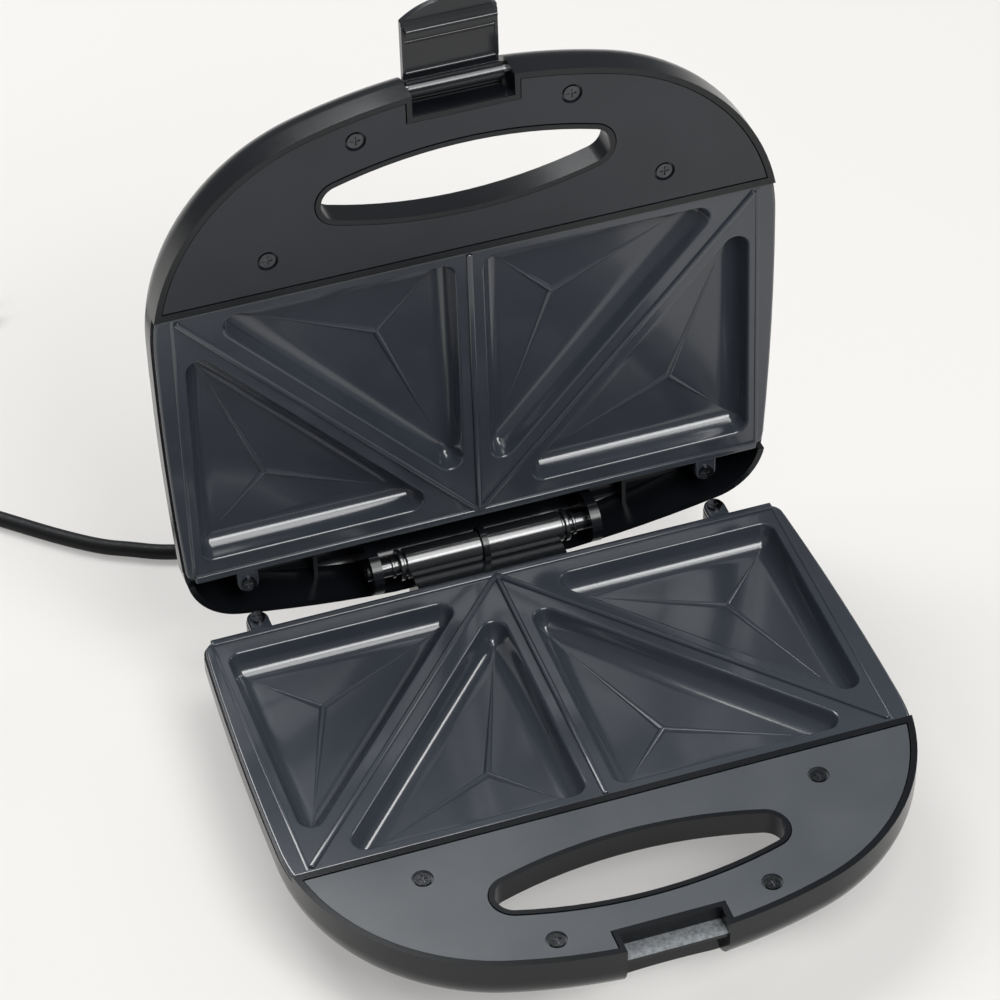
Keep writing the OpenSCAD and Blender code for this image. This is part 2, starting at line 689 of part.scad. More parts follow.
// ---- latch, drawn flipped up beside the lid, in the lid's own frame ----
latch_rib_w = 1.2;
latch_rib_h = 0.5;
module latch_local() {
  a0 = notch_back + 0.3 - latch_at;
  chord = latch_half_w;
  lip_r = (chord * chord + lip_rise * lip_rise) / (2 * lip_rise);
  low = -latch_deep - latch_off - latch_t;
  difference() {
    union() {
      translate([-latch_half_w + 0.1, -latch_at, -latch_deep]) rotate([0, 90, 0]) cylinder(r = latch_barrel_r, h = 2 * latch_half_w - 0.2);
      // root between barrel and flat; its heel meets the notch wall
      translate([-latch_half_w + 0.1, -latch_at - 1.6, low]) cube([2 * latch_half_w - 0.2, 1.6 - a0, latch_off + latch_t]);
      // flat, hook bar, upper rib and curved lip
      translate([-latch_half_w, -latch_at - latch_len, low]) cube([2 * latch_half_w, latch_len - 1.6 + 2, latch_t]);
      translate([-latch_half_w + 1, -latch_at - hook_at - 3, low]) cube([2 * latch_half_w - 2, 3, latch_t + latch_off]);
      translate([0, -latch_at - latch_len, low]) linear_extrude(latch_t) intersection() {
        translate([0, lip_r - lip_rise]) circle(r = lip_r, $fn = 180);
        translate([-chord, -lip_rise - 1]) square([2 * chord, lip_rise + 1]);
      }
      pair() translate([latch_half_w - latch_rib_w, -latch_at - hook_at - 3, low]) cube([latch_rib_w, hook_at - 2, latch_t + latch_rib_h]);
    }
    translate([-latch_half_w - 1, -latch_at, -latch_deep]) rotate([0, 90, 0]) cylinder(r = latch_pin_r + run_gap, h = 2 * latch_half_w + 2);
  }
}

module latch_pin_local() {
  translate([-pin_half, -latch_at, -latch_deep]) rotate([0, 90, 0]) cylinder(r = latch_pin_r, h = 2 * pin_half);
}

// ---- screws ----
module cross_screw(head_r, head_h, length) {
  difference() {
    union() {
      cylinder(r = head_r, h = head_h);
      translate([0, 0, -length]) cylinder(r = screw_r, h = length);
    }
    translate([-head_r * 0.6, -0.35, head_h - 0.6]) cube([head_r * 1.2, 0.7, 1]);
    translate([-0.35, -head_r * 0.6, head_h - 0.6]) cube([0.7, head_r * 1.2, 1]);
  }
}

module panel_screws_local() {
  at_panel_screws() translate([0, 0, panel_top - well_deep]) cross_screw(panel_head_r, well_deep - head_drop, 9);
}

module lug_screws_local() {
  at_lugs() cross_screw(lug_head_r, 1.1, 12);
}

// ---- lamps on the lid ----
lens_r = 4;
module at_lamps() {
  for (s = [-1, 1]) translate([s * 12, -100, 0]) children();
}
module indicator_lenses_local() {
  at_lamps() {
    translate([0, 0, -shell_depth - 0.8]) cylinder(r = lens_r - 0.05, h = wall + 0.8);
    translate([0, 0, -shell_depth + wall]) cylinder(r = lens_r + 1, h = 1.2);
  }
}
reflector_low = heat_z - 2 * heat_r - 4.5;
module neon_lamps_local() {
  low = -shell_depth + wall + 1.4;
  at_lamps() translate([0, 0, low]) cylinder(r = 2.4, h = reflector_low - 3.3 - low);
}

// ---- feet ----
foot_x = housing_half_w - 43;
foot_rear = 16;
foot_front = plate_front - 21.8;
module at_feet() {
  for (v = [foot_rear, foot_front]) pair() translate([foot_x, -v, 0]) children();
}
module feet_local() {
  at_feet() {
    translate([0, 0, -shell_depth - foot_h]) cylinder(r = foot_r, h = foot_h);
    translate([0, 0, -shell_depth - eps]) cylinder(r = 1.95, h = wall + 0.8);
  }
}

// ---- cord and what holds it ----
cord_x = -12;
cord_up = 9;
cord_z = cord_up - shell_depth;
gland_r = 4.6;
relief_len = 26;
clamp_y = -7;

module strain_relief_local() {
  translate([cord_x, box_rear - wall, cord_z]) rotate([-90, 0, 0]) difference() {
    union() {
      translate([0, 0, -1.6]) cylinder(r = gland_r + 1.4, h = 1.5);
      translate([0, 0, -1.6]) cylinder(r = gland_r - 0.05, h = wall + 3);
      translate([0, 0, wall + base_rear - box_rear + 0.1]) cylinder(r = gland_r + 1.2, h = 2);
      translate([0, 0, wall + 1]) cylinder(r1 = gland_r + 0.4, r2 = cord_d / 2 + 0.9, h = relief_len);
    }
    translate([0, 0, -3]) cylinder(r = cord_d / 2, h = relief_len + 10);
  }
}

module at_clamp_screws() {
  for (s = [-1, 1]) translate([cord_x + s * 8, clamp_y, 0]) children();
}

// Lower half of the cord clamp, part of the base's floor.
module clamp_saddle() {
  low = -shell_depth + wall - 0.5;
  difference() {
    translate([cord_x - 11, clamp_y - 4, low]) cube([22, 8, cord_z - 0.2 - low]);
    translate([cord_x, clamp_y, cord_z]) rotate([90, 0, 0]) cylinder(r = cord_d / 2 + 0.1, h = 20, center = true);
  }
}

module cord_clamp_local() {
  translate([cord_x, clamp_y, cord_z]) difference() {
    translate([-11, -4, 0]) cube([22, 8, 6]);
    rotate([90, 0, 0]) cylinder(r = cord_d / 2 + 0.1, h = 20, center = true);
    for (s = [-1, 1]) translate([s * 8, 0, -5]) cylinder(r = screw_r + 0.1, h = 20);
  }
}

module clamp_screws_local() {
  at_clamp_screws() translate([0, 0, cord_z + 6]) cross_screw(2.6, 1.6, 10);
}

// Floor route of the cord, in the base's own frame, by hand.
floor_z = -shell_depth - foot_h;
lay_z = floor_z + cord_d / 2 + 0.05;
coil_mid = [-262, 216];
coil_r = 33;
plug_r = 9;
plug_at = [coil_mid[0] + 74, coil_mid[1] + coil_r + 15, floor_z + plug_r];
route = [
  [cord_x, -20, cord_z], [cord_x, 30, cord_z], [cord_x, 44, cord_z - 3], [-18, 60, -34],
  [-34, 74, lay_z + 0.6], [-58, 83, lay_z], [-82, 88, lay_z], [-105, 94.1, lay_z], [-119, 100.8, lay_z],
  [-130, 106.8, lay_z], [-144.3, 118, lay_z], [-163, 135, lay_z], [-186, 156, lay_z],
  [-214, 174, lay_z], [-240, coil_mid[1] - coil_r, lay_z], [coil_mid[0], coil_mid[1] - coil_r, lay_z]
];
tail = [
  [coil_mid[0], coil_mid[1] + coil_r, lay_z], [coil_mid[0] + 20, coil_mid[1] + coil_r + 1, lay_z],
  [coil_mid[0] + 40, coil_mid[1] + coil_r + 6, lay_z + 1], [coil_mid[0] + 58, coil_mid[1] + coil_r + 13, lay_z + 4],
  [plug_at[0] - 8, plug_at[1], plug_at[2]], [plug_at[0] + 4, plug_at[1], plug_at[2]]
];

function spline(p, i, t) =
  let (n = len(p) - 1, a = p[max(i - 1, 0)], b = p[i], c = p[min(i + 1, n)], d = p[min(i + 2, n)])
  0.5 * ((2 * b) + (c - a) * t + (2 * a - 5 * b + 4 * c - d) * t * t + (3 * b - a - 3 * c + d) * t * t * t);

function route_points(p, per) =
  [for (i = [0:len(p) - 2], k = [0:per - 1]) spline(p, i, k / per), p[len(p) - 1]];

function ring(c, d, r, sides) =
  let (f = d / norm(d), h0 = cross(f, [0, 0, 1]), h = h0 / norm(h0), g = cross(h, f))
  [for (s = [0:sides - 1]) c + r * (cos(360 * s / sides) * h + sin(360 * s / sides) * g)];

module swept(points, r, sides) {
  n = len(points);
  rings = [for (i = [0:n - 1]) ring(points[i], points[min(i + 1, n - 1)] - points[max(i - 1, 0)], r, sides)];
  verts = [for (c = rings, v = c) v];
  skin = [for (i = [0:n - 2], s = [0:sides - 1])
    [i * sides + s, i * sides + (s + 1) % sides, (i + 1) * sides + (s + 1) % sides, (i + 1) * sides + s]];
  caps = [[for (s = [sides - 1:-1:0]) s], [for (s = [0:sides - 1]) (n - 1) * sides + s]];
  polyhedron(verts, concat(skin, caps), convexity = 6);
}

module power_cord_local() {
  swept(route_points(route, 4), cord_d / 2, 10);
}

module cord_tail_local() {
  swept(route_points(tail, 3), cord_d / 2, 10);
}

// The wound length: its turns lie on each other, so one ring has their outer shape.
module cord_coil_local() {
  translate([coil_mid[0], coil_mid[1], floor_z]) rotate_extrude($fn = 64) {
    translate([coil_r - cord_d / 2, cord_d / 2]) square([cord_d, cord_d * (coil_turns - 1)]);
    for (k = [0:coil_turns - 1]) translate([coil_r, cord_d * (k + 0.5)]) circle(r = cord_d / 2, $fn = 32);
  }
}

tie_gap = 0.3;
module cord_tie_local() {
  h = cord_d * coil_turns;
  translate([coil_mid[0] - coil_r, coil_mid[1], floor_z]) difference() {
    translate([-cord_d / 2 - tie_gap - 1, -3, 0]) cube([cord_d + 2 * tie_gap + 2, 6, h + 1]);
    translate([-cord_d / 2 - tie_gap, -4, -1]) cube([cord_d + 2 * tie_gap, 8, h + 1 + tie_gap / 2]);
  }
}

module plug_body_local() {
  translate(plug_at) rotate([0, 90, 0]) difference() {
    union() {
      cylinder(r1 = 5, r2 = plug_r - 0.6, h = 14);
      translate([0, 0, 14]) cylinder(r = plug_r - 0.6, h = 20);
      translate([0, 0, 33]) cylinder(r = plug_r, h = 4);
    }
    translate([0, 0, -1]) cylinder(r = cord_d / 2, h = 5);
  }
}

module plug_pins_local() {
  for (s = [-1, 1]) translate([plug_at[0] + 37, plug_at[1] + s * 5, plug_at[2]]) rotate([0, 90, 0]) cylinder(r = 2, h = 19);
}

// ---- placing ----
y_mid = 63.91;
module base() {
  translate([0, y_mid, foot_h + shell_depth]) children();
}
module lid() {
  base() translate([0, axis_y, axis_z]) rotate([-lid_open, 0, 0]) translate([0, -axis_y, face_gap - axis_z]) rotate([0, 180, 0]) children();
}

module lower_housing() color("#17181a") base() lower_housing_local();
module upper_housing() color("#141518") lid() upper_housing_local();
module lower_panel() color("#33383c") base() panel_local();
module upper_panel() color("#2c3033") lid() panel_local();
module lower_plate() color("#43474f") base() plate_local();
module upper_plate() color("#43474f") lid() plate_local();
module lower_heater() color("#6b6e70") base() heater_local();
module upper_heater() color("#6b6e70") lid() heater_local();
module lower_reflector() color("#b9bcc0") base() reflector_local();
module upper_reflector() color("#b9bcc0") lid() reflector_local();
module thermostat() color("#8d8f92") base() thermostat_local();
module thermal_fuse() color("#d8d8d0") base() thermal_fuse_local();
module terminal_block() color("#e4e2da") base() terminal_block_local();
module hinge_barrels() color("#101113") base() hinge_barrels_local();
module link_leads() color("#c9c4b8") base() link_leads_local();
module latch() color("#1c1e21") lid() latch_local();
module latch_pin() color("#9a9c9e") lid() latch_pin_local();
module lower_panel_screws() color("#3b3d40") base() panel_screws_local();
module upper_panel_screws() color("#3b3d40") lid() panel_screws_local();
module lower_lug_screws() color("#3b3d40") base() lug_screws_local();
module upper_lug_screws() color("#3b3d40") lid() lug_screws_local();
module indicator_lenses() color("#8c1d18") lid() indicator_lenses_local();
module neon_lamps() color("#d9a08a") lid() neon_lamps_local();
module feet() color("#202123") base() feet_local();
module strain_relief() color("#17181a") base() strain_relief_local();
module cord_clamp() color("#e4e2da") base() cord_clamp_local();
module clamp_screws() color("#b0b2b4") base() clamp_screws_local();
module power_cord() color("#26282b") base() power_cord_local();
module cord_coil() color("#26282b") base() cord_coil_local();
module cord_tail() color("#26282b") base() cord_tail_local();
module cord_tie() color("#1b1c1e") base() cord_tie_local();
module plug_body() color("#1b1c1e") base() plug_body_local();
module plug_pins() color("#c7c9cb") base() plug_pins_local();

lower_housing();
upper_housing();
lower_panel();
upper_panel();
lower_plate();
upper_plate();
lower_heater();
upper_heater();
lower_reflector();
upper_reflector();
thermostat();
thermal_fuse();
terminal_block();
hinge_barrels();
link_leads();
latch();
latch_pin();
lower_panel_screws();
upper_panel_screws();
lower_lug_screws();
upper_lug_screws();
indicator_lenses();
neon_lamps();
feet();
strain_relief();
cord_clamp();
clamp_screws();
power_cord();
cord_coil();
cord_tail();
cord_tie();
plug_body();
plug_pins();
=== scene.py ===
import json
import math
import bpy
from mathutils import Matrix, Vector

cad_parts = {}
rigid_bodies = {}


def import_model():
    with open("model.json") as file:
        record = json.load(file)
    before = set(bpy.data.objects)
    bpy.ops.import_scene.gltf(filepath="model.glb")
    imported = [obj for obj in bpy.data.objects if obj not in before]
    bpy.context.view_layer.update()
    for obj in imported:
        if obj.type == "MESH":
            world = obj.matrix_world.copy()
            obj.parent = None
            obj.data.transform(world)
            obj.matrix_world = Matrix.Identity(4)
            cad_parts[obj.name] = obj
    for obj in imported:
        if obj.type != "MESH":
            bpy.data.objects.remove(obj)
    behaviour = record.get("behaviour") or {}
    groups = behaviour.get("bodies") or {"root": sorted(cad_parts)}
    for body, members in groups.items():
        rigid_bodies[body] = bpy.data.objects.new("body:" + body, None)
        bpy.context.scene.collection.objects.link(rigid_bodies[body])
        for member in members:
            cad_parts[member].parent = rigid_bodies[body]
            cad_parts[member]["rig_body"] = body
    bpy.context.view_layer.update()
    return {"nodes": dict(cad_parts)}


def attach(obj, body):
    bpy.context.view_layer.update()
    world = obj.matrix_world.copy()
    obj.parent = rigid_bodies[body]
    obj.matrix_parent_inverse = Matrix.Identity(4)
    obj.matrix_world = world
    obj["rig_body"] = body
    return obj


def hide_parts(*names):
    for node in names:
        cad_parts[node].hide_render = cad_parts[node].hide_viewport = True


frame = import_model()

# ---- camera ----
# A long lens from the front left, about 1.6 m away and above the open toaster. The three directions
# are the camera's own: to its right, downwards, and straight ahead.
camera_place = (-0.40397, -1.11924, 1.25106)
field_of_view = math.radians(12.479)
right = Vector((0.94416405, -0.32941651, -0.00624529))
down = Vector((-0.22938601, -0.64361661, -0.73016417))
ahead = Vector((0.23650856, 0.69082735, -0.68324321))

camera = bpy.data.objects.new("camera", bpy.data.cameras.new("camera"))
bpy.context.scene.collection.objects.link(camera)
bpy.context.scene.camera = camera
camera.matrix_world = (Matrix.Translation(camera_place)
                       @ Matrix((right, -down, -ahead)).transposed().to_4x4())
camera.data.angle = field_of_view
camera.data.clip_start, camera.data.clip_end = 0.1, 20


# ---- supply cord ----
# Three-core flex in a matt black rubber sheath, about 0.7 m long. It leaves the rear of the base
# through a rubber sleeve, runs off to the left over the table and is wound up behind.
class Field:
    """A value that varies over a surface. Sums and products of fields add Math nodes."""

    def __init__(self, finish, socket):
        self.finish, self.socket = finish, socket

    def worked(self, operation, *values):
        return self.finish.node("ShaderNodeMath", {"operation": operation}, dict(enumerate(values)))

    def __add__(self, other):
        return self.worked("ADD", self, other)

    def __mul__(self, other):
        return self.worked("MULTIPLY", self, other)

    __radd__, __rmul__ = __add__, __mul__


class Finish:
    """A material and its nodes. Plain numbers go on the shader, fields are linked to it."""

    def __init__(self, name, **values):
        self.material = bpy.data.materials.new(name)
        self.material.use_nodes = True
        self.tree = self.material.node_tree
        self.shader = self.tree.nodes["Principled BSDF"]
        self.set(**values)

    def join(self, value, socket):
        if isinstance(value, Field):
            self.tree.links.new(value.socket, socket)
        else:
            socket.default_value = value

    def set(self, **values):
        for name, value in values.items():
            self.join(value, self.shader.inputs[name.replace("_", " ")])

    def node(self, kind, settings=(), values=(), output=0):
        node = self.tree.nodes.new(kind)
        for key, value in dict(settings).items():
            setattr(node, key, value)
        for key, value in dict(values).items():
            self.join(value, node.inputs[key])
        return Field(self, node.outputs[output])

    def place(self):
        return self.node("ShaderNodeTexCoord", output=3)

    def noise(self, scale, detail=3.0):
        return self.node("ShaderNodeTexNoise", {}, {
            "Vector": self.place(), "Scale": scale, "Detail": detail, "Roughness": 0.5})

    def spread(self, value, low, high, to_low=0.0, to_high=1.0):
        """value from low to high, brought to to_low and to_high, and held there."""
        return self.node("ShaderNodeMapRange", {"clamp": True}, {
            0: value, 1: low, 2: high, 3: to_low, 4: to_high})

    def mix(self, share, a, b):
        return self.node("ShaderNodeMix", {"data_type": "RGBA"}, {0: share, 6: a, 7: b}, output=2)

    def relief(self, height, distance, strength):
        return self.node("ShaderNodeBump", {}, {
            "Strength": strength, "Distance": distance, "Height": height})


def colour(r, g, b):
    return (r, g, b, 1.0)


def along(points, each):
    """Points on one smooth line through all of points, each of them on it."""
    p, out = [Vector(q) for q in points], []
    for i in range(len(p) - 1):
        a, b, c, d = p[max(i - 1, 0)], p[i], p[i + 1], p[min(i + 2, len(p) - 1)]
        for k in range(each):
            t = k / each
            out.append(0.5 * (2 * b + (c - a) * t + (2 * a - 5 * b + 4 * c - d) * t ** 2
                              + (3 * b - a - 3 * c + d) * t ** 3))
    return out + [p[-1]]


def pick(*pieces):
    """Selects these objects and nothing else; the first becomes the active one."""
    bpy.ops.object.select_all(action="DESELECT")
    for piece in pieces:
        piece.select_set(True)
    bpy.context.view_layer.objects.active = pieces[0]


def dress(piece, finish):
    """Gives an object one material all over."""
    piece.data.materials.clear()
    piece.data.materials.append(finish.material)
    return piece


MM = 0.001
ribs_meet_y, plate_top = 63.91, 40
BASE = Vector((0, ribs_meet_y * MM, plate_top * MM))


def in_base(x, y, z):
    """A point of the base, in millimetres from where the ribs meet at the rear of its plate."""
    return BASE + Vector((x, y, z)) * MM


cord_r = 3.1
lay = cord_r + 0.05 - plate_top
coil_x, coil_y, coil_r = -262, 216, 33
coil_front, coil_back = coil_y - coil_r, coil_y + coil_r
coil_sweep, coil_step = 540, 8
climb_start, climb_sweep = 240, 100
layer = 2 * cord_r + 0.1
plug_z = -31
run = along([(-12, 31.6, -27), (-12, 44, -30), (-18, 60, -34), (-34, 74, lay + 0.6), (-58, 83, lay),
             (-82, 88, lay), (-105, 94.1, lay), (-119, 100.8, lay), (-130, 106.8, lay),
             (-144.3, 118, lay), (-163, 135, lay), (-186, 156, lay), (-214, 174, lay),
             (-240, coil_front, lay), (coil_x, coil_front, lay)], 8)
turns = []
for degrees in range(coil_step, coil_sweep, coil_step):
    a = math.radians(-90 - degrees)
    rise = min(max((degrees - climb_start) / climb_sweep, 0), 1)
    turns.append(Vector((coil_x + coil_r * math.cos(a), coil_y + coil_r * math.sin(a), lay + layer * rise)))
tail = along([(coil_x, coil_back, lay + layer), (coil_x + 20, coil_back + 1, lay + 5.4),
              (coil_x + 40, coil_back + 6, lay + 4), (coil_x + 58, coil_back + 13, lay + 4.8),
              (coil_x + 66, coil_back + 15, plug_z), (coil_x + 78, coil_back + 15, plug_z)], 6)
line = [in_base(*p) for p in run + turns + tail]
cord_curve = bpy.data.curves.new("cord", "CURVE")
cord_curve.dimensions = "3D"
cord_curve.bevel_depth = cord_r * MM
cord_curve.bevel_resolution = 6
cord_curve.use_fill_caps = True
spline = cord_curve.splines.new("POLY")
spline.points.add(len(line) - 1)
for point, p in zip(spline.points, line):
    point.co = (*p, 1)
cord = bpy.data.objects.new("cord", cord_curve)
bpy.context.scene.collection.objects.link(cord)
pick(cord)
bpy.ops.object.convert(target="MESH")
cord = bpy.context.object
bpy.ops.object.shade_smooth_by_angle(angle=math.radians(40))
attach(cord, "base")
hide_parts("power_cord", "cord_coil", "cord_tail")
rubber = Finish("cord rubber", Roughness=0.5, Specular_IOR_Level=0.22)
rubber.set(
    Base_Color=rubber.mix(rubber.noise(60, 4), colour(0.004, 0.0043, 0.005), colour(0.008, 0.0085, 0.0095)),
    Roughness=rubber.spread(rubber.noise(900, 4), 0.3, 0.7, 0.42, 0.6),
    Normal=rubber.relief(rubber.noise(2600, 4), 0.00006, 0.5))
cord.data.materials.append(rubber.material)


# ---- plug and tie ----
# A two-pin plug moulded on the cord, with a grip that narrows towards it; its pins are nickel-plated
# brass. A soft black tie holds the cord's turns together.
plug_black = Finish("plug black", Roughness=0.45)
plug_black.set(
    Base_Color=plug_black.mix(plug_black.noise(90), colour(0.012, 0.012, 0.013), colour(0.02, 0.02, 0.022)),
    Roughness=plug_black.spread(plug_black.noise(1200), 0.3, 0.7, 0.36, 0.5),
    Normal=plug_black.relief(plug_black.noise(3000), 0.00005, 0.4))


def metal(name, dark, light, low, high, patches, grain):
    """Bare metal whose tone drifts in patches and whose gloss drifts in finer ones."""
    finish = Finish(name, Metallic=1.0)
    finish.set(
        Base_Color=finish.mix(finish.noise(*patches), colour(*dark), colour(*light)),
        Roughness=finish.spread(finish.noise(*grain), 0.3, 0.7, low, high))
    return finish


def dress_nodes(finish, *nodes):
    """Gives CAD nodes whose shape stays one material each."""
    for node in nodes:
        dress(frame["nodes"][node], finish)


plug_metal = metal("plug metal", (0.62, 0.61, 0.58), (0.72, 0.71, 0.68), 0.2, 0.34, (200,), (700,))
dress_nodes(plug_black, "plug_body", "cord_tie")
dress_nodes(plug_metal, "plug_pins")


# ---- base housing ----
# One injection moulding in glossy black plastic: side wall, underside, finger opening, notch for the
# latch and the cradle of the hinge. Its edges have the small radius that a mould gives, and the
# bar in the notch, which the latch's hook catches, has a pale, coarse grain on top.
def softened(name, node, width):
    """A copy of a node with its facets merged into whole faces and its edges rounded by width mm."""
    source = frame["nodes"][node]
    piece = bpy.data.objects.new(name, source.data.copy())
    bpy.context.scene.collection.objects.link(piece)
    pick(piece)
    bpy.ops.mesh.customdata_custom_splitnormals_clear()
    bpy.ops.object.mode_set(mode="EDIT")
    bpy.ops.mesh.select_mode(type="EDGE")
    bpy.ops.mesh.select_all(action="SELECT")
    bpy.ops.mesh.remove_doubles(threshold=2e-6)
    bpy.ops.mesh.dissolve_limited(angle_limit=math.radians(0.6))
    bpy.ops.mesh.select_all(action="DESELECT")
    bpy.ops.mesh.edges_select_sharp(sharpness=math.radians(32))
    bpy.ops.mesh.bevel(offset=width * MM, offset_type="OFFSET", segments=2, profile=0.5,
                       affect="EDGES", clamp_overlap=True)
    bpy.ops.object.mode_set(mode="OBJECT")
    bpy.ops.object.shade_smooth_by_angle(angle=math.radians(40))
    weighted = piece.modifiers.new("normals", "WEIGHTED_NORMAL")
    weighted.keep_sharp, weighted.weight = True, 80
    bpy.ops.object.modifier_apply(modifier=weighted.name)
    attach(piece, source["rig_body"])
    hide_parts(node)
    return piece


def plastic(name, dark, light, low, high, grain=0.00004, patches=(28, 3), fade=0.3):
    """Moulded plastic: a slight drift of tone and gloss, and the fine grain of the mould."""
    finish = Finish(name, Specular_IOR_Level=0.5)
    finish.set(
        Base_Color=finish.mix(finish.spread(finish.noise(*patches), fade, 1 - fade),
                              colour(*dark), colour(*light)),
        Roughness=finish.spread(finish.noise(1500, 3), 0.3, 0.7, low, high),
        Normal=finish.relief(finish.noise(2600, 2), grain, 0.4))
    return finish


moulded_edge = 0.5
housing_black = plastic("housing black", (0.004, 0.005, 0.0065), (0.006, 0.0073, 0.0092), 0.17, 0.22,
                        grain=0.000008)
housing_black.set(Specular_IOR_Level=0.38)
lower_housing = dress(softened("base_housing", "lower_housing", moulded_edge), housing_black)

keeper_grain = plastic("keeper grain", (0.1, 0.11, 0.118), (0.2, 0.215, 0.225), 0.35, 0.5,
                      grain=0.0003, patches=(700, 4), fade=0.35)
lower_housing.data.materials.append(keeper_grain.material)
bar_half_w, bar_rear, bar_near = 0.0195, -0.1205, 0.0007
bar_top = in_base(0, 0, -5).z
for face in lower_housing.data.polygons:
    spot = face.center
    on_bar = abs(spot.x) < bar_half_w and spot.y < bar_rear and abs(spot.z - bar_top) < bar_near
    if on_bar and face.normal.z > 0.4:
        face.material_index = 1

# ---- lid housing ----
# The same moulding in the same plastic, with a skirt at its rear, the two ears of the hinge and,
# on its outside, the holes of the two lamps.
dress(softened("lid_housing", "upper_housing", moulded_edge), housing_black)

# ---- handle panels ----
# Flat covers let into both handle bows, moulded in a plain dull finish. Each is held by four screws
# in round wells. The base's panel is grey and the lid's is nearly black.
panel_edge = 0.25
panel_grey = plastic("base panel grey", (0.05, 0.057, 0.064), (0.068, 0.0755, 0.083), 0.28, 0.34)
panel_black = plastic("lid panel black", (0.0105, 0.0132, 0.0175), (0.015, 0.0185, 0.024), 0.3, 0.38)
dress(softened("base_panel", "lower_panel", panel_edge), panel_grey)
dress(softened("lid_panel", "upper_panel", panel_edge), panel_black)

# ---- cooking plates ----
# Two die-cast aluminium plates with a dark non-stick coating. Each has four triangular pockets with
# rounded walls and three fine ridges on the floor, and raised ribs that part and seal the slices.
# Sizes are in millimetres in the plane of the plate: x to the right, v from its rear to its front.
plate_front, plate_rear, plate_deep, plate_round, sheet_t = 119.8, 4.3, 2.2, 0.7, 1.6
edge_steps = [(plate_round + 0.4, 0), (plate_round, 0), (plate_round * 0.5, -0.1),
              (plate_round * 0.13, -0.35), (0, -plate_round), (0, -plate_deep)]
widest_at, turn_x, turn_r, side_r, rear_corner_r = 105.1, 36.75, 83.35, 1349.1, 6
lug_x, lug_v, lug_r = 92.4, 10.4, 4.2

rib_w, rib_h, rib_root, rib_bend, rib_start = 2.4, 1.1, -1, 0.8, 2.4
rib_end_x, rib_end_v = 111.8, 117.7
side_rib_x, side_rib_w, side_rib_h, side_rib_bend = 113, 1.6, 0.3, 0.25
rear_rib_w, rear_rib_bend, rear_rib_y = 3.2, 0.7, 2.7
knot_r, knot_low = 2.2, -0.9

pocket_off = 6.4
rib_slope = (plate_front + rib_start) / side_rib_x
rib_lift = pocket_off * math.sqrt(1 + rib_slope ** 2)
pocket_side, pocket_mid, pocket_rear, pocket_front = 109.2, 5.6, 5, 115.4
outer_pocket = [(pocket_side, pocket_rear), (pocket_side, rib_slope * pocket_side - rib_start - rib_lift),
                ((pocket_rear + rib_start + rib_lift) / rib_slope, pocket_rear)]
inner_pocket = [(pocket_mid, pocket_front), (pocket_mid, rib_slope * pocket_mid - rib_start + rib_lift),
                ((pocket_front + rib_start - rib_lift) / rib_slope, pocket_front)]
pocket_steps = [(-1.3, 0), (-0.9, 0), (-0.45, -0.07), (-0.12, -0.28), (0.05, -0.62), (0.5, -2.2),
                (1.05, -3.9), (1.8, -5.6), (2.8, -7.0), (4.1, -8.1), (5.6, -8.75), (7.4, -9.05), (9.2, -9.15)]
pocket_bend, least_bend = 5, 0.9
floor_low = -9.75
floor_reach, ridge_half_w, ridge_h = 10.2, 1.6, 1.35
ridge_section = ((-1, -0.3), (-0.62, 0.55), (-0.2, 0.95), (0.2, 0.95), (0.62, 0.55), (1, -0.3))


def turned_left(corners):
    """The corners in the plane of the plate, counter-clockwise."""
    p = [Vector((x, -v)) for x, v in corners]
    area = sum(a.x * b.y - b.x * a.y for a, b in zip(p, p[1:] + p[:1]))
    return p if area > 0 else p[::-1]


def middle_of(p):
    """Centre and radius of the circle that touches a triangle's three sides."""
    sides = [(p[(i + 1) % 3] - p[(i + 2) % 3]).length for i in range(3)]
    area = abs((p[1] - p[0]).cross(p[2] - p[0])) / 2
    return sum((s * q for s, q in zip(sides, p)), Vector((0, 0))) / sum(sides), 2 * area / sum(sides)


def pocket_ring(p, inset, bend, each=9):
    """Outline of a triangle with rounded corners, moved in by inset."""
    middle, reach = middle_of(p)
    c = [middle + (q - middle) * (1 - (inset + bend) / reach) for q in p]
    out = []
    for i in range(3):
        before, after = c[i] - c[i - 1], c[(i + 1) % 3] - c[i]
        start = math.atan2(-before.x, before.y)
        swing = before.angle_signed(after) * -1
        for k in range(each + 1):
            a = start + swing * k / each
            out.append(c[i] + bend * Vector((math.cos(a), math.sin(a))))
    return out


def arc(centre, r, degrees):
    """Points of a round stretch, at these angles from +X."""
    angles = [math.radians(d) for d in degrees]
    return [(centre[0] + r * math.cos(a), centre[1] + r * math.sin(a)) for a in angles]


def plate_outline():
    """The plate's edge seen from above, counter-clockwise, in millimetres."""
    half = []
    for k in range(5):
        y = -plate_front + (plate_front - widest_at) * k / 4
        half.append((turn_x + math.sqrt(turn_r ** 2 - (y + widest_at) ** 2), y))
    corner_y = plate_rear - rear_corner_r
    for k in range(1, 25):
        y = -widest_at + (widest_at + corner_y) * k / 24
        half.append((turn_x + turn_r - side_r + math.sqrt(side_r ** 2 - (y + widest_at) ** 2), y))
    half += arc((half[-1][0] - rear_corner_r, corner_y), rear_corner_r, range(9, 91, 9))
    half.append((lug_x + lug_r, plate_rear))
    half += arc((lug_x, lug_v), lug_r, range(0, 181, 15))
    half.append((lug_x - lug_r, plate_rear))
    return [Vector(p) for p in half] + [Vector((-x, y)) for x, y in reversed(half)]


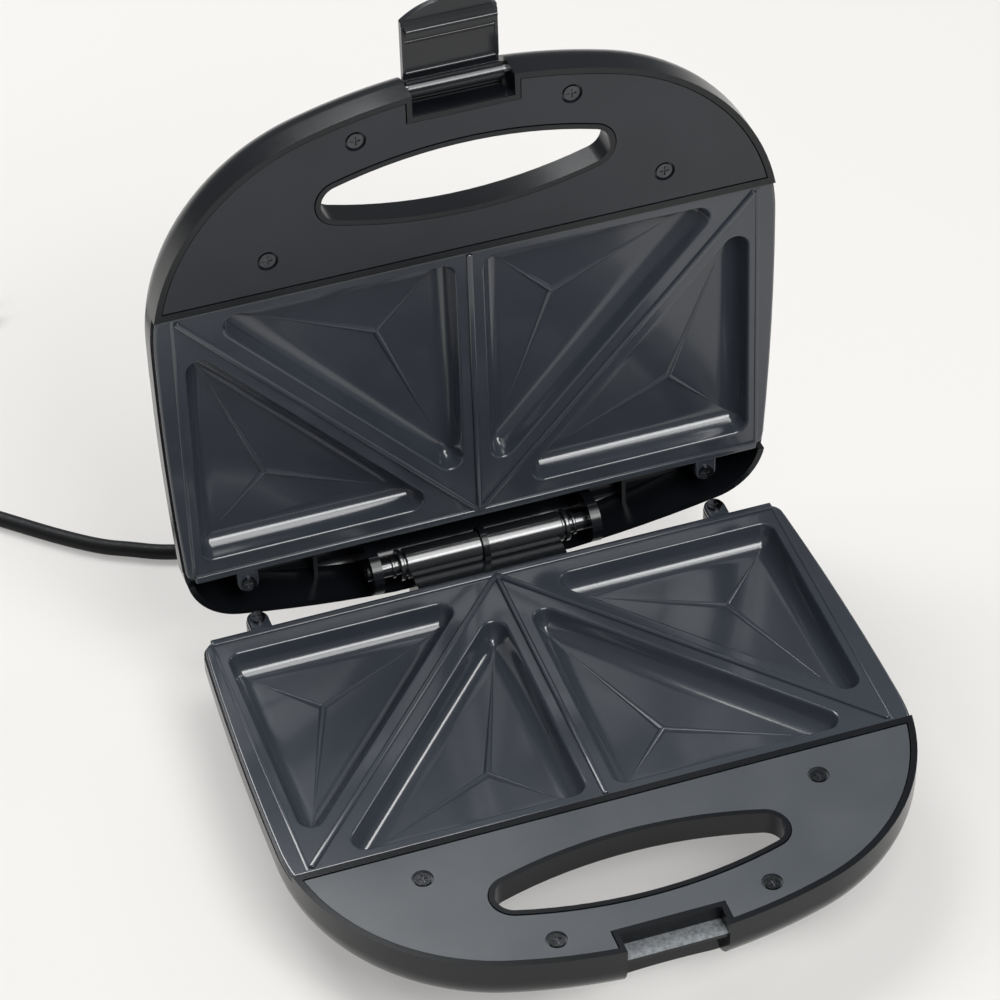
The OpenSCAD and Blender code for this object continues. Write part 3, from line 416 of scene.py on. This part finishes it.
def moved_in(loop, by):
    """A closed line of points, each moved square to the line towards its inside."""
    out = []
    for i, p in enumerate(loop):
        a, b = (p - loop[i - 1]).normalized(), (loop[(i + 1) % len(loop)] - p).normalized()
        inward = (a + b).normalized()
        inward = Vector((-inward.y, inward.x))
        out.append(p + inward * by / max(a.dot(b) / 2 + 0.5, 0.25) ** 0.5)
    return out


def cooking_plate(name, node, onto):
    """Sheet, pockets, ridges and ribs of one plate, modelled flat and then brought onto its place."""
    verts, faces, open_edges = [], [], []

    def loop_of(points, z):
        start = len(verts)
        verts.extend((q.x, q.y, z) for q in points)
        return list(range(start, len(verts)))

    def joined(a, b):
        n = len(a)
        faces.extend((a[i], a[(i + 1) % n], b[(i + 1) % n], b[i]) for i in range(n))

    edge = plate_outline()
    rings = [loop_of(moved_in(edge, by), z) for by, z in edge_steps]
    for a, b in zip(rings, rings[1:]):
        joined(b, a)
    open_edges += rings[0]
    for corners in (outer_pocket, inner_pocket):
        for side in (1, -1):
            p = turned_left([(side * x, v) for x, v in corners])
            rings = [loop_of(pocket_ring(p, e, max(pocket_bend - e, least_bend)), z) for e, z in pocket_steps]
            for a, b in zip(rings, rings[1:]):
                joined(a, b)
            open_edges += rings[0]
            middle = middle_of(p)[0]
            verts.append((middle.x, middle.y, floor_low))
            n = len(rings[-1])
            faces.extend((rings[-1][i], rings[-1][(i + 1) % n], len(verts) - 1) for i in range(n))
    mesh = bpy.data.meshes.new(name)
    mesh.from_pydata(verts, [], faces)
    sheet = bpy.data.objects.new(name, mesh)
    bpy.context.scene.collection.objects.link(sheet)
    pick(sheet)
    bpy.ops.object.mode_set(mode="EDIT")
    bpy.ops.mesh.select_mode(type="VERT")
    bpy.ops.mesh.select_all(action="DESELECT")
    bpy.ops.object.mode_set(mode="OBJECT")
    for i in open_edges:
        mesh.vertices[i].select = True
    bpy.ops.object.mode_set(mode="EDIT")
    bpy.ops.mesh.select_mode(type="EDGE")
    bpy.ops.mesh.fill(use_beauty=True)
    bpy.ops.mesh.select_all(action="SELECT")
    bpy.ops.mesh.normals_make_consistent(inside=False)
    bpy.ops.object.mode_set(mode="OBJECT")
    if sum(f.normal.z * f.area for f in mesh.polygons) < 0:
        mesh.flip_normals()
    solid = sheet.modifiers.new("thickness", "SOLIDIFY")
    solid.thickness, solid.offset = sheet_t, -1
    bpy.ops.object.modifier_apply(modifier=solid.name)
    bpy.ops.object.shade_smooth_by_angle(angle=math.radians(38))
    parts = [sheet, rib((0, plate_rear - 1), (0, -plate_front + 0.9), rib_w, rib_h, rib_bend)]
    for side in (1, -1):
        parts.append(rib((0, rib_start), (side * rib_end_x, -rib_end_v), rib_w, rib_h, rib_bend))
        parts.append(rib((side * side_rib_x, 2), (side * side_rib_x, -plate_front + 1.2),
                         side_rib_w, side_rib_h, side_rib_bend))
    parts.append(rib((-side_rib_x, rear_rib_y), (side_rib_x, rear_rib_y), rear_rib_w, rib_h, rear_rib_bend))
    bpy.ops.mesh.primitive_uv_sphere_add(segments=24, ring_count=12, radius=knot_r,
                                         location=(0, 0.4, knot_low))
    parts.append(bpy.context.object)
    bpy.ops.object.transform_apply()
    bpy.ops.object.shade_smooth()
    for corners in (outer_pocket, inner_pocket):
        for side in (1, -1):
            parts += ridges(turned_left([(side * x, v) for x, v in corners]))
    pick(*parts)
    bpy.ops.object.join()
    mesh.transform(onto @ Matrix.Diagonal((MM, MM, MM, 1)))
    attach(sheet, frame["nodes"][node]["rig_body"])
    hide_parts(node)
    return sheet


def rib(a, b, width, high, bend):
    """A straight raised rib from a to b with rounded edges. Its root is sunk in the sheet."""
    a, b = Vector(a), Vector(b)
    bpy.ops.object.select_all(action="DESELECT")
    bpy.ops.mesh.primitive_cube_add(size=1, location=(0, 0, 0))
    piece = bpy.context.object
    piece.data.transform(Matrix.Diagonal(((b - a).length, width, high - rib_root, 1)))
    bpy.ops.object.mode_set(mode="EDIT")
    bpy.ops.mesh.select_all(action="SELECT")
    bpy.ops.mesh.bevel(offset=bend, segments=4, affect="EDGES")
    bpy.ops.object.mode_set(mode="OBJECT")
    bpy.ops.object.shade_smooth_by_angle(angle=math.radians(40))
    turn = Matrix.Rotation(math.atan2((b - a).y, (b - a).x), 4, "Z")
    middle = ((a + b) / 2).to_3d() + Vector((0, 0, (rib_root + high) / 2))
    piece.data.transform(Matrix.Translation(middle) @ turn)
    return piece


def ridges(p):
    """Three fine ridges that run from the middle of a pocket's floor towards its corners and fade out."""
    middle, reach = middle_of(p)
    made = []
    for q in p:
        away = (q - middle).normalized()
        floor_end = ((q - middle) * (1 - floor_reach / reach)).length
        long = floor_end + 1.5
        verts, faces, steps, n = [], [], 8, len(ridge_section)
        across = Vector((-away.y, away.x))
        for k in range(steps + 1):
            t = k / steps
            at = middle + away * long * t
            foot = floor_low + 0.6 * t * long / (floor_end + 1.0)
            half, tall = ridge_half_w * (1 - t) ** 0.8 + 0.15, ridge_h * (1 - t) ** 0.9 + 0.05
            for w, h in ridge_section:
                r = at + across * half * w
                verts.append((r.x, r.y, foot + tall * h))
        for i in range(0, n * steps, n):
            faces += [(i + j, i + j + n, i + j + n + 1, i + j + 1) for j in range(n - 1)]
            faces.append((i + n - 1, i + 2 * n - 1, i + n, i))
        faces += [tuple(range(n)), tuple(reversed(range(n * steps, n * steps + n)))]
        mesh = bpy.data.meshes.new("ridge")
        mesh.from_pydata(verts, [], faces)
        piece = bpy.data.objects.new("ridge", mesh)
        bpy.context.scene.collection.objects.link(piece)
        pick(piece)
        bpy.ops.object.mode_set(mode="EDIT")
        bpy.ops.mesh.select_all(action="SELECT")
        bpy.ops.mesh.normals_make_consistent(inside=False)
        bpy.ops.object.mode_set(mode="OBJECT")
        bpy.ops.object.shade_smooth_by_angle(angle=math.radians(50))
        made.append(piece)
    return made


def shifted(x, y, z):
    return Matrix.Translation(Vector((x, y, z)) * MM)


axis_back, axis_up, lid_open = 18.4, 1.5, math.radians(93.9)
on_base = Matrix.Translation(BASE)
on_lid = (on_base @ shifted(0, axis_back, axis_up) @ Matrix.Rotation(-lid_open, 4, "X")
          @ shifted(0, -axis_back, axis_up) @ Matrix.Rotation(math.pi, 4, "Y"))
coating = plastic("plate coating", (0.028, 0.0335, 0.043), (0.035, 0.0415, 0.052), 0.18, 0.21, grain=0.000002)
coating.set(Coat_Weight=0.5, Coat_Roughness=0.09, Coat_IOR=1.5)
dress(cooking_plate("base_plate", "lower_plate", on_base), coating)
dress(cooking_plate("lid_plate", "upper_plate", on_lid), coating)

# ---- hinge ----
# Two hollow barrels turned from glossy black plastic, side by side on one line. Each has a groove, a
# flange, a thin neck and a clip ring at its outer end, where the lid's ear turns on it.
bore, barrel_r, groove_r, flange_r, neck_r, clip_r, tip_r = 2.4, 6, 4.8, 6.2, 3.6, 4.5, 3.4
barrel_start, barrel_end, neck_end, tip_end = 1.2, 31.5, 46, 46.8
flange_start = barrel_end + 1
flange_end = flange_start + 1.6
clip_start = flange_end + 1.8
clip_end = clip_start + 1.2


def rim(r, start, end, bend=0.3):
    """Profile of one step of a turned piece: a disc or cylinder with both of its edges rounded."""
    low = [(r - bend, start), (r - 0.5 * bend, start + 0.13 * bend), (r - 0.13 * bend, start + 0.5 * bend),
           (r, start + bend), (r, start + 2 * bend)]
    return low + [(a, start + end - h) for a, h in reversed(low)]


def turned(name, profile, centre, steps=72):
    """A closed solid spun from (radius, distance) points in millimetres about the hinge's line."""
    mesh = bpy.data.meshes.new(name)
    edges = [(i, i + 1) for i in range(len(profile) - 1)]
    mesh.from_pydata([(r * MM, 0, h * MM) for r, h in profile], edges, [])
    piece = bpy.data.objects.new(name, mesh)
    bpy.context.scene.collection.objects.link(piece)
    pick(piece)
    bpy.ops.object.mode_set(mode="EDIT")
    bpy.ops.mesh.select_all(action="SELECT")
    bpy.ops.mesh.spin(steps=steps, angle=2 * math.pi, center=(0, 0, 0), axis=(0, 0, 1))
    bpy.ops.mesh.select_all(action="SELECT")
    bpy.ops.mesh.remove_doubles(threshold=1e-6)
    bpy.ops.mesh.normals_make_consistent(inside=False)
    bpy.ops.object.mode_set(mode="OBJECT")
    mesh.transform(Matrix.Translation(centre) @ Matrix.Rotation(math.pi / 2, 4, "Y"))
    bpy.ops.object.shade_smooth_by_angle(angle=math.radians(35))
    return piece


barrel = ([(bore, barrel_start)] + rim(barrel_r, barrel_start, barrel_end)
          + [(groove_r, barrel_end), (groove_r, flange_start)] + rim(flange_r, flange_start, flange_end)
          + [(neck_r, flange_end), (neck_r, clip_start)] + rim(clip_r, clip_start, clip_end, 0.25)
          + [(neck_r, clip_end), (neck_r, neck_end), (tip_r, tip_end), (bore, tip_end), (bore, barrel_start)])
on_axis = in_base(0, axis_back, axis_up)
hinge, other = [turned("hinge_barrels", [(r, side * h) for r, h in barrel], on_axis) for side in (1, -1)]
pick(hinge, other)
bpy.ops.object.join()
hinge_gloss = plastic("hinge gloss", (0.008, 0.0087, 0.01), (0.012, 0.013, 0.0145), 0.2, 0.25, grain=0.000004)
hinge_gloss.set(Coat_Weight=1.0, Coat_Roughness=0.16, Coat_IOR=1.6)
dress(hinge, hinge_gloss)
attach(hinge, "base")
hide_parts("hinge_barrels")

# ---- latch ----
# A curved plate with a hook, moulded in one piece in glossy black plastic. It swings on a pin in the
# lid's notch, and three thin beads run across its inner face.
latch_black = plastic("latch black", (0.008, 0.0093, 0.0115), (0.012, 0.0138, 0.0165), 0.14, 0.2,
                      grain=0.000008)
dress(softened("latch_hook", "latch", 0.35), latch_black)

bead_r, bead_long = 0.75, 34
bead_places = ((-213.4, -9.35), (-207.1, -12.8), (-193.9, -12.8))
beads = []
for y, z in bead_places:
    bpy.ops.mesh.primitive_cylinder_add(vertices=24, radius=bead_r * MM, depth=bead_long * MM)
    beads.append(bpy.context.object)
    beads[-1].data.transform(on_lid @ shifted(0, y, z) @ Matrix.Rotation(math.pi / 2, 4, "Y"))
    bpy.ops.object.shade_smooth_by_angle(angle=math.radians(40))
pick(*beads)
bpy.ops.object.join()
latch_beads = dress(bpy.context.object, latch_black)
latch_beads.name = "latch_beads"
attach(latch_beads, frame["nodes"]["latch"]["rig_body"])

# ---- screws and pin ----
# Blackened cross-head screws hold the two panels and the lugs of the plates. The latch's pin and the
# cord clamp's screws are bright steel, and so is the case of the thermostat.
dark_screw = metal("dark screws", (0.05, 0.053, 0.057), (0.11, 0.114, 0.12), 0.14, 0.26, (500,), (900,))
steel = metal("steel pin", (0.45, 0.45, 0.46), (0.58, 0.58, 0.59), 0.22, 0.38, (300,), (900,))
dress_nodes(dark_screw, "lower_panel_screws", "upper_panel_screws", "lower_lug_screws", "upper_lug_screws")
dress_nodes(steel, "latch_pin", "clamp_screws", "thermostat")

# ---- heaters and reflectors ----
# Under each plate lies a bent tubular heater, whose steel jacket is oxidised dark by heat. A sheet
# of tinplate behind it throws the heat back and shields the housing.
oxide = Finish("heater tube", Metallic=0.9)
oxide.set(
    Base_Color=oxide.mix(oxide.noise(120, 4), colour(0.09, 0.085, 0.08), colour(0.2, 0.19, 0.18)),
    Roughness=oxide.spread(oxide.noise(700, 4), 0.3, 0.7, 0.45, 0.65),
    Normal=oxide.relief(oxide.noise(2500), 0.00005, 0.5))
tinplate = metal("tinplate", (0.6, 0.61, 0.62), (0.74, 0.75, 0.76), 0.25, 0.42, (40, 4), (300, 5))
dress_nodes(oxide, "lower_heater", "upper_heater")
dress_nodes(tinplate, "lower_reflector", "upper_reflector")

# ---- wiring ----
# The terminal block and the cord clamp are pale nylon. The leads that cross the hinge are braided
# glass, and a fibre sleeve covers the thermal fuse.
nylon = plastic("pale nylon", (0.6, 0.58, 0.52), (0.7, 0.68, 0.62), 0.4, 0.55)
braid = plastic("glass braid", (0.5, 0.48, 0.42), (0.68, 0.66, 0.6), 0.7, 0.85, grain=0.0002)
sleeve = plastic("fibre sleeve", (0.72, 0.71, 0.67), (0.8, 0.79, 0.75), 0.6, 0.75, grain=0.0001)
dress_nodes(nylon, "terminal_block", "cord_clamp")
dress_nodes(braid, "link_leads")
dress_nodes(sleeve, "thermal_fuse")

# ---- lamps of the lid ----
# Two red lenses snap into the outside of the lid, one for power and one for ready. A small neon lamp
# of clear glass sits behind each.
neon = Finish("neon glass", Transmission_Weight=0.6, IOR=1.5)
neon.set(
    Base_Color=neon.mix(neon.noise(200), colour(0.75, 0.45, 0.36), colour(0.85, 0.6, 0.5)),
    Roughness=neon.spread(neon.noise(600), 0.3, 0.7, 0.08, 0.18))
lens = Finish("red lens", Transmission_Weight=0.35, IOR=1.49)
lens.set(
    Base_Color=lens.mix(lens.noise(150), colour(0.32, 0.012, 0.01), colour(0.42, 0.025, 0.018)),
    Roughness=lens.spread(lens.noise(900), 0.3, 0.7, 0.1, 0.2),
    Normal=lens.relief(lens.noise(1800), 0.00004, 0.4))
dress_nodes(neon, "neon_lamps")
dress_nodes(lens, "indicator_lenses")

# ---- feet and cord sleeve ----
# Four feet of black rubber under the base keep it from sliding. The sleeve that keeps the cord from
# bending sharply at the rear wall is the same rubber.
foot_rubber = plastic("foot rubber", (0.012, 0.012, 0.013), (0.022, 0.022, 0.024), 0.65, 0.8, grain=0.0001)
dress_nodes(foot_rubber, "feet", "strain_relief")

# ---- floor and light ----
# A pale matt table, which the camera and reflections see a little brighter than it is lit, so that
# it runs into a white background and still takes the toaster's shadow.
bpy.ops.mesh.primitive_plane_add(size=12, location=(0, 2, 0))
floor = bpy.context.object
floor.name = "floor"
paper = Finish("pale floor", Roughness=0.9, Specular_IOR_Level=0.1)
paper.set(Base_Color=(0.655, 0.643, 0.625, 1))
glow = paper.node("ShaderNodeEmission", {}, {"Color": (0.885, 0.87, 0.85, 1)})
glow_share = 0.35
camera_ray, glossy_ray, through_ray = [paper.node("ShaderNodeLightPath", output=f"Is {kind} Ray")
                                       for kind in ("Camera", "Glossy", "Transmission")]
seen = (camera_ray + glossy_ray + through_ray) * glow_share
lit = Field(paper, paper.shader.outputs[0])
blend = paper.node("ShaderNodeMixShader", {}, {0: seen, 1: lit, 2: glow})
paper.join(blend, paper.tree.nodes["Material Output"].inputs["Surface"])
dress(floor, paper)

world = bpy.data.worlds.new("studio")
bpy.context.scene.world = world
world.use_nodes = True
sky = world.node_tree.nodes["Background"]
sky.inputs["Color"].default_value = (0.95, 0.97, 1, 1)
sky.inputs["Strength"].default_value = 0.22


def lamp(name, place, target, width, height, power):
    """A soft box of width by height metres at place, turned towards target, of power watts."""
    data = bpy.data.lights.new(name, "AREA")
    data.shape, data.size, data.size_y, data.energy = "RECTANGLE", width, height, power
    made = bpy.data.objects.new(name, data)
    bpy.context.scene.collection.objects.link(made)
    made.location = place
    made.rotation_euler = (Vector(target) - Vector(place)).to_track_quat("-Z", "Y").to_euler()


toaster = (0, 0, 0.05)
lamp("overhead", (-0.3, 0.95, 1.4), toaster, 0.95, 0.8, 20)
lamp("top", (0.3, -0.45, 1.5), toaster, 0.5, 0.9, 9)
lamp("front", (0.32, -1.25, 1.5), (0, 0, 0.1), 1.0, 0.55, 18)
lamp("left strip", (-1.2, 0.6, 1.2), toaster, 0.35, 0.35, 3)
lamp("right strip", (1.35, 0.22, 1.03), toaster, 0.3, 0.3, 3)
bpy.context.scene.view_settings.view_transform = "Standard"
